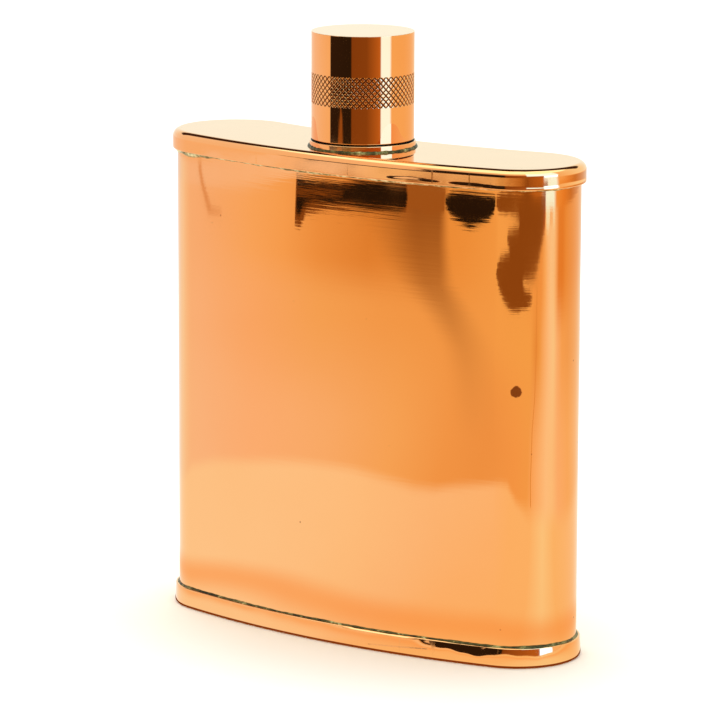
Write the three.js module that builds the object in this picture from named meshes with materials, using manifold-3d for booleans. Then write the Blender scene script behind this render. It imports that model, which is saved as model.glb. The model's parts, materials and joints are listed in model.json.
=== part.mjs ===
// A copper hip flask: a kidney-shaped wall of sheet copper with a flanged lid and a flanged
// base soldered over its ends, a threaded neck standing in a collar, and a knurled screw cap.
// Millimetres, +Z up. The origin is on the surface the flask stands on, at the middle of its
// outline. The bulging front faces -Y and the hollow back faces +Y.

import * as THREE from "three";
import { mergeVertices } from "three/addons/utils/BufferGeometryUtils.js";
import Module from "manifold-3d";

// ---- Driving dimensions ----

// Outline of the lid and the base, seen from above.
const HALF_WIDTH = 56.65;
const END_RADIUS = 15.25;
const FRONT_BULGE = 20.05; // from the line through the end arcs' centres to the front
const BACK_BULGE = 10.85; // from that line to the middle of the hollow back
const ARC_STEPS = { end: 18, front: 14, back: 10 };

// Sheet metal.
const SHEET = 0.9;
const WALL_INSET = 1.1; // the wall's face lies this far inside the flanges' face
const BASE_HEIGHT = 4.75;
const LID_EDGE = 111.55;
const LID_FACE = 116.2;
const LID_ROUNDING = 1.2;
const BASE_ROUNDING = 0.7;
const SOLDER_GAP = 0.1; // left between two soldered sheets, face to face
const HAIRLINE = 0.05; // left between pieces that touch
const SEAM_WIDTH = 0.7;
const BEAD_HEIGHT = 0.6;

// Neck and collar, on one upright axis.
const NECK_X = -0.4;
const NECK_Y = -1.95;
const BORE_RADIUS = 7.4;
const NECK_RADIUS = 8.6;
const NECK_RIM = 130;
const FOOT_RADIUS = 10.6;
const FOOT_THICKNESS = 1;
const COLLAR_RADIUS = 12.4;
const COLLAR_TOP = 117.7;
const COLLAR_BEAD_WIDTH = 0.65;

// Right-hand thread.
const PITCH = 2.5;
const THREAD_START = 120.4;
const THREAD_TURNS = 3;
const THREAD_DEPTH = 0.8;
const RIDGE = { root: 0.75, crest: 0.35 }; // half widths, along the axis
const THREAD_PLAY = 0.25;

// Cap.
const CAP_RADIUS = 12;
const CAP_EDGE = 118.05;
const CAP_TOP = 143.2;
const CAP_CHAMFER = 0.2;
const INSERT_RADIUS = 10.7;
const INSERT_EDGE = 118.5;
const GASKET_THICKNESS = 1.8;

const ROUND_STEPS = 36; // flats round each turned piece, and along one turn of the thread

// ---- Solids ----

const wasm = await Module();
wasm.setup();

function solid(geometry) {
  const bare = geometry.clone();
  bare.deleteAttribute("normal");
  bare.deleteAttribute("uv");
  const merged = mergeVertices(bare, 1e-4);
  return new wasm.Manifold(
    new wasm.Mesh({
      numProp: 3,
      vertProperties: merged.getAttribute("position").array,
      triVerts: new Uint32Array(merged.index.array),
    }),
  );
}

function geometryOf(body) {
  const mesh = body.getMesh();
  const geometry = new THREE.BufferGeometry();
  geometry.setAttribute("position", new THREE.BufferAttribute(mesh.vertProperties, 3));
  geometry.setIndex(new THREE.BufferAttribute(mesh.triVerts, 1));
  geometry.computeVertexNormals();
  return geometry;
}

// Points of an arc, without its last one.
function arc(centreX, centreY, radius, from, to, steps) {
  return Array.from({ length: steps }, (_, i) => {
    const angle = from + ((to - from) * i) / steps;
    return new THREE.Vector2(
      centreX + radius * Math.cos(angle),
      centreY + radius * Math.sin(angle),
    );
  });
}

// The flask's outline drawn in by an inset. The front arc wraps round both end arcs and the
// back arc rests against them, so each pair meets on the line through its two centres.
function outline(inset) {
  const endX = HALF_WIDTH - END_RADIUS;
  const endY = (FRONT_BULGE - END_RADIUS) / 2;
  const arcRadius = (bulge) =>
    (endX ** 2 + bulge ** 2 - END_RADIUS ** 2) / (2 * Math.abs(bulge - END_RADIUS));
  const frontRadius = arcRadius(FRONT_BULGE);
  const backRadius = arcRadius(BACK_BULGE);
  const frontY = endY + frontRadius - FRONT_BULGE;
  const backY = endY + backRadius + BACK_BULGE;
  const frontTurn = Math.atan2(endX, frontY - endY);
  const backTurn = Math.atan2(endX, backY - endY);
  const down = -Math.PI / 2;
  const up = Math.PI / 2;
  const { end, front, back } = ARC_STEPS;
  return new THREE.Shape([
    ...arc(0, frontY, frontRadius - inset, down - frontTurn, down + frontTurn, front),
    ...arc(endX, endY, END_RADIUS - inset, down + frontTurn, up + backTurn, end),
    ...arc(0, backY, backRadius + inset, down + backTurn, down - backTurn, back),
    ...arc(-endX, endY, END_RADIUS - inset, up - backTurn, 3 * up - frontTurn, end),
  ]);
}

// A slab of the flask's outline between two heights.
function slab(inset, bottom, top) {
  const flat = new THREE.ExtrudeGeometry(outline(inset), {
    depth: top - bottom,
    bevelEnabled: false,
  });
  return solid(flat.translate(0, 0, bottom));
}

// The same slab with both its edges rounded.
function roundedSlab(bottom, top, rounding) {
  const blank = new THREE.ExtrudeGeometry(outline(0), {
    depth: top - bottom - 2 * rounding,
    bevelThickness: rounding,
    bevelSize: rounding,
    bevelOffset: -rounding,
    bevelSegments: 3,
  });
  return solid(blank.translate(0, 0, bottom + rounding));
}

// A ring of the outline between two insets.
function band(outer, inner, bottom, top) {
  return slab(outer, bottom, top).subtract(slab(inner, bottom - 1, top + 1));
}

// A piece turned about the neck's axis, from [radius, height] corners in anticlockwise order.
function turned(corners) {
  const profile = [...corners, corners[0]].map(([r, z]) => new THREE.Vector2(r, z));
  const ring = new THREE.LatheGeometry(profile, ROUND_STEPS);
  return solid(ring.rotateX(Math.PI / 2));
}

// The path of a thread round the upright axis, whose section keeps one side facing outwards.
class ThreadPath extends THREE.Curve {
  constructor(radius, start, turns) {
    super();
    this.radius = radius;
    this.start = start;
    this.turns = turns;
  }

  getPoint(t, target = new THREE.Vector3()) {
    const angle = 2 * Math.PI * this.turns * t;
    const height = this.start + PITCH * this.turns * t;
    return target.set(this.radius * Math.cos(angle), this.radius * Math.sin(angle), height);
  }

  computeFrenetFrames(steps) {
    const frames = { tangents: [], normals: [], binormals: [] };
    for (let i = 0; i <= steps; i += 1) {
      const angle = (2 * Math.PI * this.turns * i) / steps;
      frames.tangents.push(new THREE.Vector3(-Math.sin(angle), Math.cos(angle), 0));
      frames.normals.push(new THREE.Vector3(Math.cos(angle), Math.sin(angle), 0));
      frames.binormals.push(new THREE.Vector3(0, 0, -1));
    }
    return frames;
  }
}

// A helical rib whose section is a trapezium standing on a root radius.
function rib(root, depth, halfRoot, halfCrest, start, turns) {
  const buried = 0.3; // how far the rib reaches inside its root radius
  const section = new THREE.Shape([
    new THREE.Vector2(-buried, -halfRoot),
    new THREE.Vector2(0, -halfRoot),
    new THREE.Vector2(depth, -halfCrest),
    new THREE.Vector2(depth, halfCrest),
    new THREE.Vector2(0, halfRoot),
    new THREE.Vector2(-buried, halfRoot),
  ]);
  const sweep = new THREE.ExtrudeGeometry(section, {
    steps: turns * ROUND_STEPS,
    extrudePath: new ThreadPath(root, start, turns),
  });
  return solid(sweep);
}

// ---- Flask ----

// A flat plate with its rim turned up or down, like a shallow tray.
function tray(face, edge, rounding) {
  const upright = edge > face;
  const low = Math.min(face, edge);
  const high = Math.max(face, edge);
  const spare = 2 * rounding; // trimmed off the rim, so only the face's edge stays round
  const blank = roundedSlab(low - (upright ? 0 : spare), high + (upright ? spare : 0), rounding);
  const inner = upright
    ? slab(SHEET, low + SHEET, high + 1)
    : slab(SHEET, low - 1, high - SHEET);
  return blank.intersect(slab(-1, low, high)).subtract(inner);
}

function bottomPlate() {
  return tray(0, BASE_HEIGHT, BASE_ROUNDING);
}

function topPlate() {
  const radius = NECK_RADIUS + HAIRLINE * 3;
  const hole = new THREE.CylinderGeometry(radius, radius, 4 * SHEET, ROUND_STEPS)
    .rotateX(Math.PI / 2)
    .translate(NECK_X, NECK_Y, LID_FACE - SHEET / 2);
  return tray(LID_FACE, LID_EDGE, LID_ROUNDING).subtract(solid(hole));
}

function seamBox(width, depth, bottom, top) {
  const wallY = (FRONT_BULGE - END_RADIUS) / 2 + BACK_BULGE - WALL_INSET - SHEET / 2;
  const box = new THREE.BoxGeometry(width, depth, top - bottom);
  return solid(box.translate(0, wallY, (bottom + top) / 2));
}

const wallBottom = SHEET + SOLDER_GAP;
const wallTop = LID_FACE - SHEET - SOLDER_GAP;

// The wall is one rolled strip, open along the middle of the back where its edges meet.
function bodyWall() {
  const ring = band(WALL_INSET, WALL_INSET + SHEET, wallBottom, wallTop);
  return ring.subtract(seamBox(SEAM_WIDTH, 4 * SHEET, wallBottom - 1, wallTop + 1));
}

function seamSolder() {
  return seamBox(SEAM_WIDTH - 2 * HAIRLINE, SHEET, wallBottom, wallTop);
}

// A bead of solder in the corner between a flange's edge and the wall.
function flangeBead(bottom) {
  return band(WALL_INSET - SHEET + HAIRLINE, WALL_INSET - HAIRLINE, bottom, bottom + BEAD_HEIGHT);
}

// ---- Neck ----

function neck() {
  const footTop = LID_FACE - SHEET - SOLDER_GAP;
  const footBottom = footTop - FOOT_THICKNESS;
  const rimRounding = 0.3;
  const tube = turned([
    [BORE_RADIUS, footBottom],
    [FOOT_RADIUS, footBottom],
    [FOOT_RADIUS, footTop],
    [NECK_RADIUS, footTop],
    [NECK_RADIUS, NECK_RIM - rimRounding],
    [NECK_RADIUS - rimRounding, NECK_RIM],
    [BORE_RADIUS + rimRounding, NECK_RIM],
    [BORE_RADIUS, NECK_RIM - rimRounding],
  ]);
  const { root, crest } = RIDGE;
  return tube.add(rib(NECK_RADIUS, THREAD_DEPTH, root, crest, THREAD_START, THREAD_TURNS));
}

function neckSolder() {
  const top = LID_FACE - SHEET - HAIRLINE;
  const inner = FOOT_RADIUS + HAIRLINE;
  return turned([
    [inner, top - FOOT_THICKNESS],
    [inner + BEAD_HEIGHT / 2, top - FOOT_THICKNESS],
    [inner + 2 * BEAD_HEIGHT, top],
    [inner, top],
  ]);
}

function neckCollar() {
  const inner = NECK_RADIUS + 3 * HAIRLINE;
  const rounding = 0.25;
  return turned([
    [inner, LID_FACE + HAIRLINE],
    [COLLAR_RADIUS, LID_FACE + HAIRLINE],
    [COLLAR_RADIUS, COLLAR_TOP - rounding],
    [COLLAR_RADIUS - rounding, COLLAR_TOP],
    [inner, COLLAR_TOP],
  ]);
}

function collarSolder() {
  const inner = COLLAR_RADIUS + HAIRLINE;
  const low = LID_FACE + HAIRLINE;
  return turned([
    [inner, low],
    [inner + COLLAR_BEAD_WIDTH, low],
    [inner + COLLAR_BEAD_WIDTH, low + BEAD_HEIGHT / 3],
    [inner + COLLAR_BEAD_WIDTH / 2, low + BEAD_HEIGHT],
    [inner, low + BEAD_HEIGHT],
  ]);
}

// ---- Cap ----

const gasketBottom = NECK_RIM + 2 * HAIRLINE;
const boreTop = gasketBottom + GASKET_THICKNESS + 2 * HAIRLINE;

function capShell() {
  const bore = INSERT_RADIUS + HAIRLINE;
  return turned([
    [0, boreTop],
    [bore, boreTop],
    [bore, CAP_EDGE],
    [CAP_RADIUS - CAP_CHAMFER, CAP_EDGE],
    [CAP_RADIUS, CAP_EDGE + CAP_CHAMFER],
    [CAP_RADIUS, CAP_TOP - CAP_CHAMFER],
    [CAP_RADIUS - CAP_CHAMFER, CAP_TOP],
    [0, CAP_TOP],
  ]);
}

// A brass ring whose thread is wider than the neck's by the play on every side.
function capThreadInsert() {
  const bore = NECK_RADIUS + THREAD_PLAY;
  const top = gasketBottom - HAIRLINE;
  const ring = turned([
    [bore, INSERT_EDGE],
    [INSERT_RADIUS, INSERT_EDGE],
    [INSERT_RADIUS, top],
    [bore, top],
  ]);
  const early = 2; // whole turns before the neck's thread, so the groove runs out of the ring
  const groove = rib(
    NECK_RADIUS,
    THREAD_DEPTH + THREAD_PLAY,
    RIDGE.root + THREAD_PLAY,
    RIDGE.crest + THREAD_PLAY,
    THREAD_START - early * PITCH,
    THREAD_TURNS + 2 * early,
  );
  return ring.subtract(groove);
}

function capGasket() {
  const radius = INSERT_RADIUS - HAIRLINE;
  return turned([
    [0, gasketBottom],
    [radius, gasketBottom],
    [radius, gasketBottom + GASKET_THICKNESS],
    [0, gasketBottom + GASKET_THICKNESS],
  ]);
}

// ---- Assembly ----

const FINISHES = {
  bodyCopper: { color: 0xd9824f, roughness: 0.16, metalness: 1 },
  plateCopper: { color: 0xe39463, roughness: 0.14, metalness: 1 },
  capCopper: { color: 0xdc8a57, roughness: 0.1, metalness: 1 },
  solder: { color: 0x8f8b72, roughness: 0.55, metalness: 0.9 },
  brass: { color: 0xc9a552, roughness: 0.3, metalness: 1 },
  sealRubber: { color: 0xd8d4c8, roughness: 0.7, metalness: 0 },
};

function piece(name, body, finish) {
  const mesh = new THREE.Mesh(geometryOf(body), new THREE.MeshStandardMaterial(FINISHES[finish]));
  mesh.name = name;
  return mesh;
}

const neckAxis = new THREE.Group();
neckAxis.position.set(NECK_X, NECK_Y, 0);
neckAxis.add(
  piece("neck", neck(), "brass"),
  piece("neck_solder", neckSolder(), "solder"),
  piece("neck_collar", neckCollar(), "plateCopper"),
  piece("collar_solder", collarSolder(), "solder"),
  piece("cap_shell", capShell(), "capCopper"),
  piece("cap_thread_insert", capThreadInsert(), "brass"),
  piece("cap_gasket", capGasket(), "sealRubber"),
);

const flask = new THREE.Group();
flask.add(
  piece("body_wall", bodyWall(), "bodyCopper"),
  piece("seam_solder", seamSolder(), "solder"),
  piece("bottom_plate", bottomPlate(), "plateCopper"),
  piece("bottom_solder", flangeBead(BASE_HEIGHT + HAIRLINE), "solder"),
  piece("top_plate", topPlate(), "plateCopper"),
  piece("top_solder", flangeBead(LID_EDGE - HAIRLINE - BEAD_HEIGHT), "solder"),
  neckAxis,
);

export default flask;
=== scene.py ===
import json
import math

import bpy
import numpy as np
from mathutils import Matrix, Vector


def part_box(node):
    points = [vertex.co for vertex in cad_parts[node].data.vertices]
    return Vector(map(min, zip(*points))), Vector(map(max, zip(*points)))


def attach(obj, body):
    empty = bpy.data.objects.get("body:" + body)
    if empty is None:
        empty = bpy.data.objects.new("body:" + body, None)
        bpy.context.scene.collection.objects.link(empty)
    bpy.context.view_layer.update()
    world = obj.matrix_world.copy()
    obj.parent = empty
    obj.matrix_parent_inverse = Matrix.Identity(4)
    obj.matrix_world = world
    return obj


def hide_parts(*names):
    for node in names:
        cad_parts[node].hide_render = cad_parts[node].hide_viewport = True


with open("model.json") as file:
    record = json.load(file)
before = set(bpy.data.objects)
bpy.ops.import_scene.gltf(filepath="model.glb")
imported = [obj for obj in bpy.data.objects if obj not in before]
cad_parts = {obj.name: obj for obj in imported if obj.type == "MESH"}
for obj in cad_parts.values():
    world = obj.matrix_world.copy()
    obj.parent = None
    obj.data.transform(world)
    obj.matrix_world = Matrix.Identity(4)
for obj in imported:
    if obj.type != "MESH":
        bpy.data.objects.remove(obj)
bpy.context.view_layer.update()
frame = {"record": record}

MM = 0.001
DEGREES = 180 / math.pi

# ---- The flask's sizes, read from the frame ----

lid_low, lid_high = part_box("top_plate")
_, base_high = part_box("bottom_plate")
wall_low, wall_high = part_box("body_wall")
seam_low, seam_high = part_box("seam_solder")
neck_low, neck_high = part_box("neck")
collar_low, collar_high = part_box("neck_collar")
cap_low, cap_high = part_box("cap_shell")
insert_low, insert_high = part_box("cap_thread_insert")
gasket_low, gasket_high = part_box("cap_gasket")

SHEET = seam_high.y - seam_low.y
HALF_WIDTH = lid_high.x
WALL_INSET = HALF_WIDTH - wall_high.x
END_RADIUS = 15.25 * MM
FRONT_BULGE = lid_high.y - lid_low.y - END_RADIUS
END_X = HALF_WIDTH - END_RADIUS
END_Y = (FRONT_BULGE - END_RADIUS) / 2
BACK_BULGE = (seam_low.y + seam_high.y) / 2 + WALL_INSET + SHEET / 2 - END_Y

AXIS = Vector(((cap_low.x + cap_high.x) / 2, (cap_low.y + cap_high.y) / 2, 0))
CAP_RADIUS = (cap_high.x - cap_low.x) / 2
COLLAR_RADIUS = (collar_high.x - collar_low.x) / 2
INSERT_RADIUS = (insert_high.x - insert_low.x) / 2
COLLAR_OVERLAP = 3.65 * MM
LID_ROLL = 1.7 * MM
BASE_ROLL = 0.75 * MM
BASE_FIT = 0.2 * MM
BORE_RADIUS = 7.4 * MM
NECK_RADIUS = 8.6 * MM
FOOT_RADIUS = 10.6 * MM
PITCH = 2 * math.pi * frame["record"]["behaviour"]["couplings"][0]["ratio"]
THREAD_START = 120.4 * MM
THREAD_TURNS = 3
THREAD_DEPTH = 0.8 * MM
THREAD_PLAY = 0.25 * MM
THREAD_ROWS = 150
THREAD_POINTS = 256
RIDGE_ROOT = 0.75 * MM
RIDGE_CREST = 0.35 * MM
KNURL_LOW = 126.5 * MM
KNURL_HIGH = 133.7 * MM
KNURLS_ROUND = 54
KNURLS_TALL = 5
KNURL_DEPTH = 0.24 * MM
GROOVE_HALF = 0.15
# Height in millimetres above which the neck ring's top takes the painted shade of the gap under the cap.
COLLAR_SHADE_HEIGHT = collar_high.z / MM - 0.06


# ---- Shader maths ----

class Flow:
    """A value, vector or colour running through a finish's nodes, so that its maths reads as Python."""

    def __init__(self, finish, socket):
        self.finish = finish
        self.socket = socket

    def __add__(self, other):
        return self.finish.maths("ADD", self, other)

    def __radd__(self, other):
        return self.finish.maths("ADD", other, self)

    def __sub__(self, other):
        return self.finish.maths("SUBTRACT", self, other)

    def __rsub__(self, other):
        return self.finish.maths("SUBTRACT", other, self)

    def __mul__(self, other):
        return self.finish.maths("MULTIPLY", self, other)

    def __rmul__(self, other):
        return self.finish.maths("MULTIPLY", other, self)

    def __truediv__(self, other):
        return self.finish.maths("DIVIDE", self, other)


class Finish:
    """One node material."""

    def __init__(self, name):
        self.material = bpy.data.materials.new(name)
        self.material.use_nodes = True
        self.tree = self.material.node_tree
        self.tree.nodes.clear()

    def node(self, kind, settings=None, sockets=None, out=0):
        made = self.tree.nodes.new("ShaderNode" + kind)
        for key, value in (settings or {}).items():
            if key == "stops":
                self.set_stops(made.color_ramp, value)
            else:
                setattr(made, key, value)
        for key, value in (sockets or {}).items():
            if isinstance(value, Flow):
                self.tree.links.new(value.socket, made.inputs[key])
            else:
                made.inputs[key].default_value = value
        return Flow(self, made.outputs[out])

    @staticmethod
    def set_stops(ramp, stops):
        while len(ramp.elements) < len(stops):
            ramp.elements.new(1.0)
        for element, (place, colour) in zip(ramp.elements, stops):
            element.position = place
            element.color = (*colour, 1)

    def maths(self, operation, *values):
        return self.node("Math", {"operation": operation}, dict(enumerate(values)))

    def blend(self, factor, first, second):
        sockets = {0: factor, 6: self.as_colour(first), 7: self.as_colour(second)}
        return self.node("Mix", {"data_type": "RGBA"}, sockets, out=2)

    @staticmethod
    def as_colour(value):
        return (*value, 1) if isinstance(value, tuple) and len(value) == 3 else value

    def spot(self):
        """Object coordinates."""
        return self.node("TexCoord", out=3)

    def place(self, scale=(1, 1, 1)):
        """Object coordinates, stretched."""
        return self.node("Mapping", {}, {"Vector": self.spot(), "Scale": scale})

    def part(self, vector, axis):
        """One of a vector's three numbers: 0 for x, 1 for y and 2 for z."""
        return self.node("SeparateXYZ", {}, {"Vector": vector}, out=axis)

    def length(self, vector):
        return self.node("VectorMath", {"operation": "LENGTH"}, {0: vector}, out=1)

    def heading(self, vector):
        """A direction over the table, in degrees from -Y towards +X."""
        return self.maths("ARCTAN2", self.part(vector, 0), -1 * self.part(vector, 1)) * DEGREES

    def height(self):
        """Height above the table in millimetres."""
        return self.part(self.spot(), 2) / MM

    def from_axis(self):
        """Distance from the neck's axis in millimetres."""
        level = {"Vector": self.place(), "Location": (-AXIS.x, -AXIS.y, 0), "Scale": (1, 1, 0)}
        return self.length(self.node("Mapping", {}, level)) / MM

    def noise(self, scale, stretch=(1, 1, 1), detail=2.0, rough=0.5):
        sockets = {"Vector": self.place(stretch), "Scale": scale, "Detail": detail, "Roughness": rough}
        return self.node("TexNoise", {}, sockets)

    def step(self, value, edge, width):
        """0 below the edge, 1 above it, rising smoothly over the width."""
        settings = {"interpolation_type": "SMOOTHSTEP", "clamp": True}
        sockets = {"Value": value, "From Min": edge - width / 2, "From Max": edge + width / 2}
        return self.node("MapRange", settings, sockets)

    def window(self, value, low, high, width):
        return self.step(value, low, width) * (1 - self.step(value, high, width))

    def bump(self, height, distance, strength=1.0, normal=None):
        sockets = {"Height": height, "Distance": distance, "Strength": strength}
        if normal is not None:
            sockets["Normal"] = normal
        return self.node("Bump", {}, sockets)

    def surface(self, **sockets):
        named = {key.replace("_", " "): self.as_colour(value) for key, value in sockets.items()}
        return self.output(self.node("BsdfPrincipled", {}, named))

    def glow(self, colour):
        """Plain even light of one colour, or of a colour that changes from place to place."""
        return self.output(self.node("Emission", {}, {"Color": self.as_colour(colour)}))

    def output(self, shader):
        end = self.tree.nodes.new("ShaderNodeOutputMaterial")
        self.tree.links.new(shader.socket, end.inputs["Surface"])
        return self.material


# ---- Finishes ----

COPPER = (0.95, 0.45, 0.175)
COPPER_DEEP = (0.93, 0.41, 0.145)
# Brown of tarnished pits; the same brown paints a small reflection spot on the wall.
TARNISH_AND_REFLECTION_BROWN = (0.30, 0.085, 0.02)
# Dark brown of the knurl's grooves: tarnish and painted shade.
GROOVE_TARNISH_AND_SHADE = (0.22, 0.046, 0.006)
# Painted shade in the gap between the cap and the neck ring.
GAP_SHADE = (0.05, 0.02, 0.01)
# Painted shadow along the cap's lower edge, above the gap to the neck ring.
LIP_SHADE = (0.03, 0.012, 0.005)
BRASS = (0.86, 0.60, 0.25)
BRASS_DEEP = (0.70, 0.45, 0.17)
SEAL = (0.66, 0.62, 0.54)
SEAL_DEEP = (0.54, 0.50, 0.43)
# Place and size of a painted reflection: a brown spot on the wall standing in for the brown room seen in a
# dent.
PAINTED_REFLECTION_SPOT = Vector((49.1, -9.4, 65.0)) * MM
PAINTED_REFLECTION_SPOT_RADIUS = 1.3 * MM


def speckled_copper(finish, clouds, share):
    """Two clouded tones of copper, with sparse tiny pits darker than the metal round them."""
    cells = {"feature": "F1", "voronoi_dimensions": "3D"}
    distance = finish.node("TexVoronoi", cells, {"Vector": finish.place(), "Scale": 240.0})
    rare = finish.step(finish.noise(140.0, detail=0.0), 0.66, 0.03)
    pit = (1 - finish.step(distance, 0.05, 0.05)) * rare
    return finish.blend(pit * share, finish.blend(clouds, COPPER, COPPER_DEEP), TARNISH_AND_REFLECTION_BROWN)


def body_copper():
    finish = Finish("brushed_body_copper")
    clouds = finish.noise(28.0, detail=3.0)
    colour = speckled_copper(finish, clouds, 0.7)
    # Painted reflection: a small dull brown spot on the wall, in place of the brown room seen in a dent.
    away = finish.node("VectorMath", {"operation": "DISTANCE"}, {0: finish.place(), 1: PAINTED_REFLECTION_SPOT}, out=1)
    ragged = away + (finish.noise(900.0, detail=2.0) - 0.5) * (0.8 * MM)
    spot = 1 - finish.step(ragged, PAINTED_REFLECTION_SPOT_RADIUS, 0.25 * MM)
    colour = finish.blend(spot, colour, TARNISH_AND_REFLECTION_BROWN)
    streaks = finish.noise(1.0, (55, 55, 1500), detail=3.0, rough=0.55)
    hairs = finish.noise(1.0, (90, 90, 5200), detail=1.0)
    smudges = finish.step(finish.noise(45.0, (1, 1, 0.6), detail=4.0), 0.56, 0.2)
    rough = 0.02 + smudges * 0.03 + (hairs - 0.5) * 0.01 + spot * 0.25
    normal = finish.bump(streaks, 1.5e-6)
    return finish.surface(Base_Color=colour, Roughness=rough, Metallic=1.0, Normal=normal)


def plate_copper():
    finish = Finish("polished_plate_copper")
    clouds = finish.noise(60.0, detail=3.0)
    colour = speckled_copper(finish, clouds, 0.6)
    ripple = finish.noise(1.0, (120, 120, 260), detail=2.0)
    hairs = finish.noise(1.0, (300, 300, 3000), detail=3.0)
    scuffs = finish.step(finish.noise(1.0, (900, 900, 60), detail=1.0), 0.7, 0.04)
    # Painted shade: the neck ring's top under the cap's rim is darkened and dulled, the shadow of the gap
    # between them.
    under_cap = 1 - finish.step(finish.from_axis(), CAP_RADIUS / MM + 0.12, 0.1)
    painted_shade = finish.step(finish.height(), COLLAR_SHADE_HEIGHT, 0.1) * under_cap
    colour = finish.blend(painted_shade, colour, GAP_SHADE)
    rough = 0.035 + finish.step(clouds, 0.55, 0.2) * 0.03 + scuffs * 0.12 + painted_shade * 0.4
    normal = finish.bump(ripple, 2.5e-6)
    normal = finish.bump(hairs - scuffs * 0.5, 3e-7, normal=normal)
    return finish.surface(Base_Color=colour, Roughness=rough, Metallic=1.0, Normal=normal)


def cap_copper():
    finish = Finish("bright_turned_copper")
    clouds = finish.noise(90.0, detail=2.0)
    colour = speckled_copper(finish, clouds, 0.5)
    lathe_lines = finish.noise(1.0, (4, 4, 9000), detail=2.0)
    height = finish.height()
    # Tarnish and painted shade: the knurl's grooves are darkened and dulled, so both families of groove read
    # dark.
    sunk = 1 - finish.step(finish.from_axis(), CAP_RADIUS / MM - 0.03, 0.03)
    painted_shade = sunk * finish.window(height, KNURL_LOW / MM, KNURL_HIGH / MM, 0.1)
    colour = finish.blend(painted_shade * 0.95, colour, GROOVE_TARNISH_AND_SHADE)
    # Painted shade: the cap's lowest edge is darkened and dulled, the shadow of the gap over the neck ring.
    lip = 1 - finish.step(height, cap_low.z / MM + 0.05, 0.08)
    colour = finish.blend(lip, colour, LIP_SHADE)
    rough = 0.02 + lathe_lines * 0.015 + finish.step(clouds, 0.6, 0.2) * 0.02 + painted_shade * 0.4
    normal = finish.bump(lathe_lines, 1.2e-7)
    return finish.surface(Base_Color=colour, Roughness=rough + lip * 0.4, Metallic=1.0, Normal=normal)


def soft_solder(name, shade):
    """Soft solder gone dull, in tones from olive to a pale grey, which the shade moves darker or lighter."""
    finish = Finish(name)
    grain = finish.noise(1300.0, detail=3.0, rough=0.6)
    patches = finish.noise(330.0, detail=3.0)
    stops = [
        (0.36, (0.03, 0.02, 0.004)),
        (0.50, (0.10, 0.068, 0.014)),
        (0.61, (0.36, 0.26, 0.085)),
        (0.72, (0.86, 0.70, 0.36)),
    ]
    colour = finish.node("ValToRGB", {"stops": stops}, {"Fac": patches * 0.55 + grain * 0.45 + shade})
    normal = finish.bump(grain, 1.2e-4, 0.8)
    return finish.surface(Base_Color=colour, Roughness=0.3 + grain * 0.3, Metallic=0.85, Normal=normal)


def thread_brass():
    finish = Finish("machined_brass")
    turning = finish.noise(1.0, (60, 60, 7000), detail=3.0)
    clouds = finish.noise(150.0, detail=3.0)
    colour = finish.blend(clouds, BRASS, BRASS_DEEP)
    normal = finish.bump(turning, 1.5e-6)
    return finish.surface(Base_Color=colour, Roughness=0.2 + clouds * 0.14, Metallic=1.0, Normal=normal)


def seal_rubber():
    finish = Finish("pale_seal")
    mottle = finish.noise(500.0, detail=3.0)
    colour = finish.blend(mottle, SEAL, SEAL_DEEP)
    normal = finish.bump(mottle, 4e-5, 0.5)
    return finish.surface(Base_Color=colour, Roughness=0.5 + mottle * 0.15, Normal=normal)


# ---- Mesh making ----

def put(name, data):
    """A new object in the scene."""
    thing = bpy.data.objects.new(name, data)
    bpy.context.scene.collection.objects.link(thing)
    return thing


def put_mesh(name, verts, faces, finish):
    mesh = bpy.data.meshes.new(name)
    mesh.from_pydata([tuple(v) for v in verts], [], faces)
    mesh.materials.append(finish)
    return put(name, mesh)


def make_piece(name, verts, faces, finish, body, slot, *nodes, sharp=32):
    """A finished mesh that rides on its body in place of its CAD nodes."""
    piece = put_mesh(name, verts, faces, finish)
    mesh = piece.data
    mesh.validate()
    mesh.polygons.foreach_set("use_smooth", [True] * len(mesh.polygons))
    mesh.set_sharp_from_angle(angle=math.radians(sharp))
    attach(piece, body)
    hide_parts(*nodes)


def full_turn(count):
    """Evenly spaced angles, once round."""
    return 2 * math.pi * np.arange(count) / count


def eased(value):
    """A rise from 0 to 1 with soft ends."""
    share = np.clip(value, 0, 1)
    return share * share * (3 - 2 * share)


def skin(rings, loop=False, tips=(None, None)):
    """Vertices and faces of a skin over closed rings that all have the same number of points. loop joins
    the last ring to the first; a tip closes an end with a fan round that point."""
    count = len(rings[0])
    verts = np.concatenate(rings)
    here = np.arange(count)
    following = np.roll(here, -1)
    pairs = [(k, k + 1) for k in range(len(rings) - 1)]
    if loop:
        pairs.append((len(rings) - 1, 0))
    faces = []
    for a, b in pairs:
        quads = [here + a * count, following + a * count, following + b * count, here + b * count]
        faces += np.stack(quads, 1).tolist()
    for end, tip in zip((0, len(rings) - 1), tips):
        if tip is None:
            continue
        middle = len(verts)
        verts = np.vstack([verts, tip])
        first, second = here + end * count, following + end * count
        if end == 0:
            first, second = second, first
        faces += [[int(i), int(j), middle] for i, j in zip(first, second)]
    return verts, faces


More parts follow.
